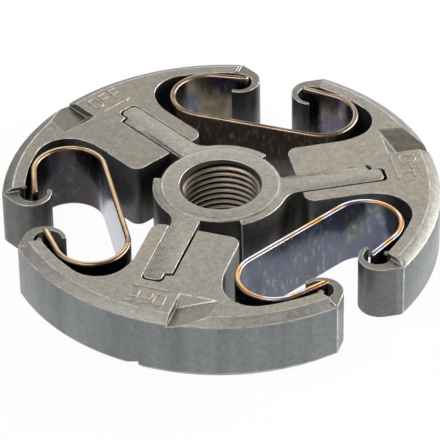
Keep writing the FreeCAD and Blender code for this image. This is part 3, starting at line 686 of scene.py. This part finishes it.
# %% Finish of the strips' edges
# Every strip has one finish on the rounds of its cut edges and one on the flat between them; the flat is
# darker on the first spring, a painted shade, and lighter on the others, a painted highlight.
def strip_edge(name, *rows):
    """The cut edges, in the colours that tempering left on them."""
    material, tree, shader, place = start_material(name)
    tint = noise(tree, place, 0.17, 3.0, 0.55)
    tree.links.new(ramp(tree, tint, screen_stops(*rows)), shader.inputs["Base Color"])
    shader.inputs["Metallic"].default_value = 0.85
    shader.inputs["Roughness"].default_value = 0.28
    return material


bronze_edge = strip_edge("bronze_edge", (0.35, 142, 122, 100), (0.50, 162, 144, 124), (0.65, 174, 162, 146))
bronze_middle_shade = strip_edge("bronze_middle_shade", (0.38, 66, 48, 38), (0.50, 92, 68, 52), (0.62, 140, 112, 86))
gold_edge = strip_edge("gold_edge", (0.36, 92, 72, 56), (0.42, 148, 122, 94), (0.52, 164, 138, 106),
                       (0.62, 158, 130, 100))
gold_middle_highlight = strip_edge("gold_middle_highlight", (0.36, 120, 98, 76), (0.42, 176, 154, 126),
                         (0.52, 188, 168, 140), (0.62, 178, 152, 120))
straw_edge = strip_edge("straw_edge", (0.37, 154, 146, 160), (0.43, 160, 114, 76), (0.50, 178, 134, 86),
                        (0.55, 162, 152, 164), (0.62, 170, 160, 168))
straw_middle_highlight = strip_edge("straw_middle_highlight", (0.37, 212, 208, 218), (0.43, 204, 154, 98),
                          (0.50, 222, 182, 122), (0.55, 216, 211, 220), (0.62, 224, 222, 226))
spring_finishes = {1: (temper_face, bronze_edge, bronze_middle_shade), 2: (brown_face, gold_edge, gold_middle_highlight),
                   3: (blue_face, straw_edge, straw_middle_highlight)}
print("Spring finishes:", {n: [m.name for m in row] for n, row in spring_finishes.items()})

# %% Bend the springs
STRIP, BEND_OUT = 0.85 * MM, 5.65 * MM
BEND = Vector((8.899 * MM, 20.796 * MM, 0.0))
LEG_LEAN = math.radians(8.08)
LEG_END, LEG_SLANT = 4.25 * MM, 0.4 * MM
BEND_STEPS = 28


def half_spring(low, high):
    """One half in the spring's own plan: U along the back, V away from the axis."""
    shape = bmesh.new()
    corners = ((BEND.y - BEND_OUT, low), (BEND.y - BEND_OUT, high),
               (BEND.y - BEND_OUT + STRIP, high), (BEND.y - BEND_OUT + STRIP, low))
    section = shape.faces.new([shape.verts.new((0.0, v, z)) for v, z in corners])
    back = bmesh.ops.extrude_face_region(shape, geom=[section])["geom"]
    moved = [item for item in back if isinstance(item, bmesh.types.BMVert)]
    bmesh.ops.translate(shape, verts=moved, vec=(BEND.x, 0.0, 0.0))
    end = [item for item in back if isinstance(item, bmesh.types.BMFace)]
    ring = end + list(end[0].edges) + list(end[0].verts)
    bent = bmesh.ops.spin(shape, geom=ring, cent=BEND, axis=(0, 0, 1), steps=BEND_STEPS,
                          angle=math.pi - LEG_LEAN, use_merge=False)["geom_last"]
    end = [item for item in bent if isinstance(item, bmesh.types.BMFace)]
    leg = bmesh.ops.extrude_face_region(shape, geom=end)["geom"]
    moved = [item for item in leg if isinstance(item, bmesh.types.BMVert)]
    along = BEND.x + BEND_OUT * math.sin(LEG_LEAN) - LEG_END
    bmesh.ops.translate(shape, verts=moved, vec=(-along, along * math.tan(LEG_LEAN), 0.0))
    inner_end = [v for v in moved if v.co.y < max(m.co.y for m in moved) - STRIP / 2]
    bmesh.ops.translate(shape, verts=inner_end, vec=(LEG_SLANT * math.cos(LEG_LEAN),
                                                     -LEG_SLANT * math.sin(LEG_LEAN), 0.0))
    bmesh.ops.delete(shape, geom=end, context="FACES_ONLY")
    bmesh.ops.remove_doubles(shape, verts=shape.verts, dist=1e-7)
    bmesh.ops.recalc_face_normals(shape, faces=shape.faces)
    return shape


print("Half a spring: a back of %.1f mm to the bend and a leg that leans by %.1f degrees"
      % (BEND.x / MM, math.degrees(LEG_LEAN)))

# %% Finish the springs and put them in place
EDGE_ROUND = 0.28 * MM
STRIP_CORNER, STRIP_CREASE = math.radians(60.0), math.radians(40.0)
# How far each spring has crept along its own back.
CREPT = {1: 0.1375 * MM, 2: 0.0, 3: -0.25 * MM}
# The third slot of a strip is for the flat of its cut edges, which carries a painted shade on the first
# spring and a painted highlight on the others.
EDGE_FLAT = 2


def finish_spring(shape, name, place, low, high, finishes):
    """Rounds the strip's long edges, gives edge and face their finish and puts it in place."""
    lengthwise = [e for e in shape.edges if len(e.link_faces) == 2
                  and e.calc_face_angle() > STRIP_CORNER
                  and max(v.co.x for v in e.verts) > 1e-6]
    bmesh.ops.bevel(shape, geom=lengthwise, offset=EDGE_ROUND, segments=4, profile=0.5, affect="EDGES",
                    material=-1, clamp_overlap=True)
    for face in shape.faces:
        face.smooth = True
        middle = face.calc_center_median().z
        if min(middle - low, high - middle) < EDGE_ROUND:
            face.material_index = EDGE_FLAT if abs(face.normal.z) > LEVEL_FACE else ROUND
    for edge in shape.edges:
        edge.smooth = len(edge.link_faces) == 2 and edge.calc_face_angle() < STRIP_CREASE
    bmesh.ops.transform(shape, matrix=place, verts=shape.verts)
    bmesh.ops.recalc_face_normals(shape, faces=shape.faces)
    mesh = bpy.data.meshes.new(name)
    shape.to_mesh(mesh)
    shape.free()
    for finish in finishes:
        mesh.materials.append(finish)
    piece = bpy.data.objects.new(name, mesh)
    scene.collection.objects.link(piece)
    return piece


# The first half of spring N has its leg at shoe N, the second half at the next shoe round.
for number in (1, 2, 3):
    node_low, node_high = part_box("spring_%d" % number)
    heading = math.radians(120.0 * (number - 1) - 30.0)
    for half, sign, shoe in (("first", 1, number), ("second", -1, number % 3 + 1)):
        shape = half_spring(node_low[2], node_high[2])
        place = Matrix.Rotation(heading, 4, "Z") @ Matrix.Translation((CREPT[number], 0.0, 0.0))
        place = place @ Matrix.Diagonal((sign, 1, 1, 1))
        piece = finish_spring(shape, "spring_%d_%s" % (number, half), place, node_low[2], node_high[2],
                              spring_finishes[number])
        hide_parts("spring_%d" % number)
        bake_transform(piece)
        print("%s: %d faces, follows shoe_%d" % (piece.name, len(piece.data.polygons), shoe))

# %% [markdown]
# ## Cast marks
# Every shoe carries the usual raised hint for taking the clutch off: the word OFF beside an arrow
# that shows which way to turn. The strokes are thin rounded ribs, so they start as curves with a
# round section and are made a mesh before they are put on the shoe, a little more than half sunk
# into its face.

# %% Draw the marks
# The plan of the marks is in mm: the reading direction and up, with the letters' middle line at 0.
STROKE = 0.17 * MM
LETTER_TALL, LETTER_WIDE, LETTER_CORNER, LETTER_STEP = 2.3, 1.5, 0.35, 2.0
BAR_LEVEL, BAR_SHARE = 0.1, 0.6
ARROW_TIP, ARROW_LEVEL, BARB_LONG, BARB_WIDE = 2.6, -2.35, 0.9, 0.3


def letter_o(middle):
    w, h, c = LETTER_WIDE / 2, LETTER_TALL / 2, LETTER_CORNER
    return [([(middle - w + c, -h), (middle + w - c, -h), (middle + w, -h + c), (middle + w, h - c),
              (middle + w - c, h), (middle - w + c, h), (middle - w, h - c), (middle - w, -h + c)], True)]


def letter_f(middle):
    w, h = LETTER_WIDE / 2, LETTER_TALL / 2
    return [([(middle - w, -h), (middle - w, h), (middle + w, h)], False),
            ([(middle - w, BAR_LEVEL), (middle + w * BAR_SHARE, BAR_LEVEL)], False)]


def arrow():
    tip, barb = (ARROW_TIP, ARROW_LEVEL), ARROW_TIP - BARB_LONG
    return [([(-ARROW_TIP, ARROW_LEVEL), tip], False),
            ([(barb, ARROW_LEVEL + BARB_WIDE), tip, (barb, ARROW_LEVEL - BARB_WIDE)], False)]


strokes = letter_o(-LETTER_STEP) + letter_f(0.0) + letter_f(LETTER_STEP) + arrow()
print("Strokes of the marks: %d" % len(strokes))

# %% Put the marks on the shoes
# Where the marks' middle lies on the first shoe, and how deep the strokes' middle lies in its face.
MARK_PLACE, MARK_SINK = (28.0 * MM, -2.1 * MM), 0.05 * MM


def turned(number):
    """The turn that takes a shape from the first shoe to another."""
    return Matrix.Rotation(math.radians(120.0 * (number - 1)), 4, "Z")


def draw_marks(name, body, place):
    """The strokes as a mesh that rides on a body."""
    curve = bpy.data.curves.new(name, "CURVE")
    curve.dimensions = "3D"
    curve.bevel_depth = STROKE
    curve.bevel_resolution = 2
    curve.use_fill_caps = True
    for points, closed in strokes:
        spline = curve.splines.new("POLY")
        spline.points.add(len(points) - 1)
        for point, (across, up) in zip(spline.points, points):
            point.co = (across * MM, up * MM, 0.0, 1.0)
        spline.use_cyclic_u = closed
    drawn = bpy.data.objects.new(name + "_curve", curve)
    scene.collection.objects.link(drawn)
    mesh = bpy.data.meshes.new_from_object(drawn.evaluated_get(bpy.context.evaluated_depsgraph_get()))
    bpy.data.objects.remove(drawn)
    bpy.data.curves.remove(curve)
    mesh.name = name
    mesh.transform(place)
    mesh.materials.clear()
    mesh.materials.append(mark_wear_and_highlight)
    mesh.shade_smooth()
    piece = bpy.data.objects.new(name, mesh)
    scene.collection.objects.link(piece)
    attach(piece, body)
    return piece


flat = Matrix.Translation((*MARK_PLACE, FACE - MARK_SINK)) @ Matrix.Rotation(-math.pi / 2, 4, "Z")
for number in (1, 2, 3):
    marks = draw_marks("marks_%d" % number, "shoe_%d" % number, turned(number) @ flat)
    print("%s: %d faces" % (marks.name, len(marks.data.polygons)))

# %% [markdown]
# ## Staked hooks
# Once a spring's leg sits in its hook, a punch pushes a little metal of the rim over the leg, so
# that it can't creep out. Each hook carries one such nub beside the leg: a flattened ball on the
# corner of the rim band, level with its top face.

# %% Stake the hooks
NUB_RADIUS, NUB_FLAT = 0.45 * MM, 0.6
NUB_PLACE = (19.55 * MM, 21.0 * MM)

for number in (1, 2, 3):
    nubs = bmesh.new()
    for side in (1, -1):
        spot = Matrix.Translation((NUB_PLACE[0], side * NUB_PLACE[1], FACE - NUB_RADIUS * NUB_FLAT))
        bmesh.ops.create_icosphere(nubs, subdivisions=3, radius=NUB_RADIUS,
                                   matrix=spot @ Matrix.Diagonal((1.0, 1.0, NUB_FLAT, 1.0)))
    bmesh.ops.transform(nubs, matrix=turned(number), verts=nubs.verts)
    nub_mesh = bpy.data.meshes.new("nubs_%d" % number)
    nubs.to_mesh(nub_mesh)
    nubs.free()
    nub_mesh.shade_smooth()
    nub_mesh.materials.append(shoe_steel[number])
    piece = bpy.data.objects.new("nubs_%d" % number, nub_mesh)
    scene.collection.objects.link(piece)
    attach(piece, "shoe_%d" % number)
    print("%s: %d faces" % (piece.name, len(nub_mesh.polygons)))
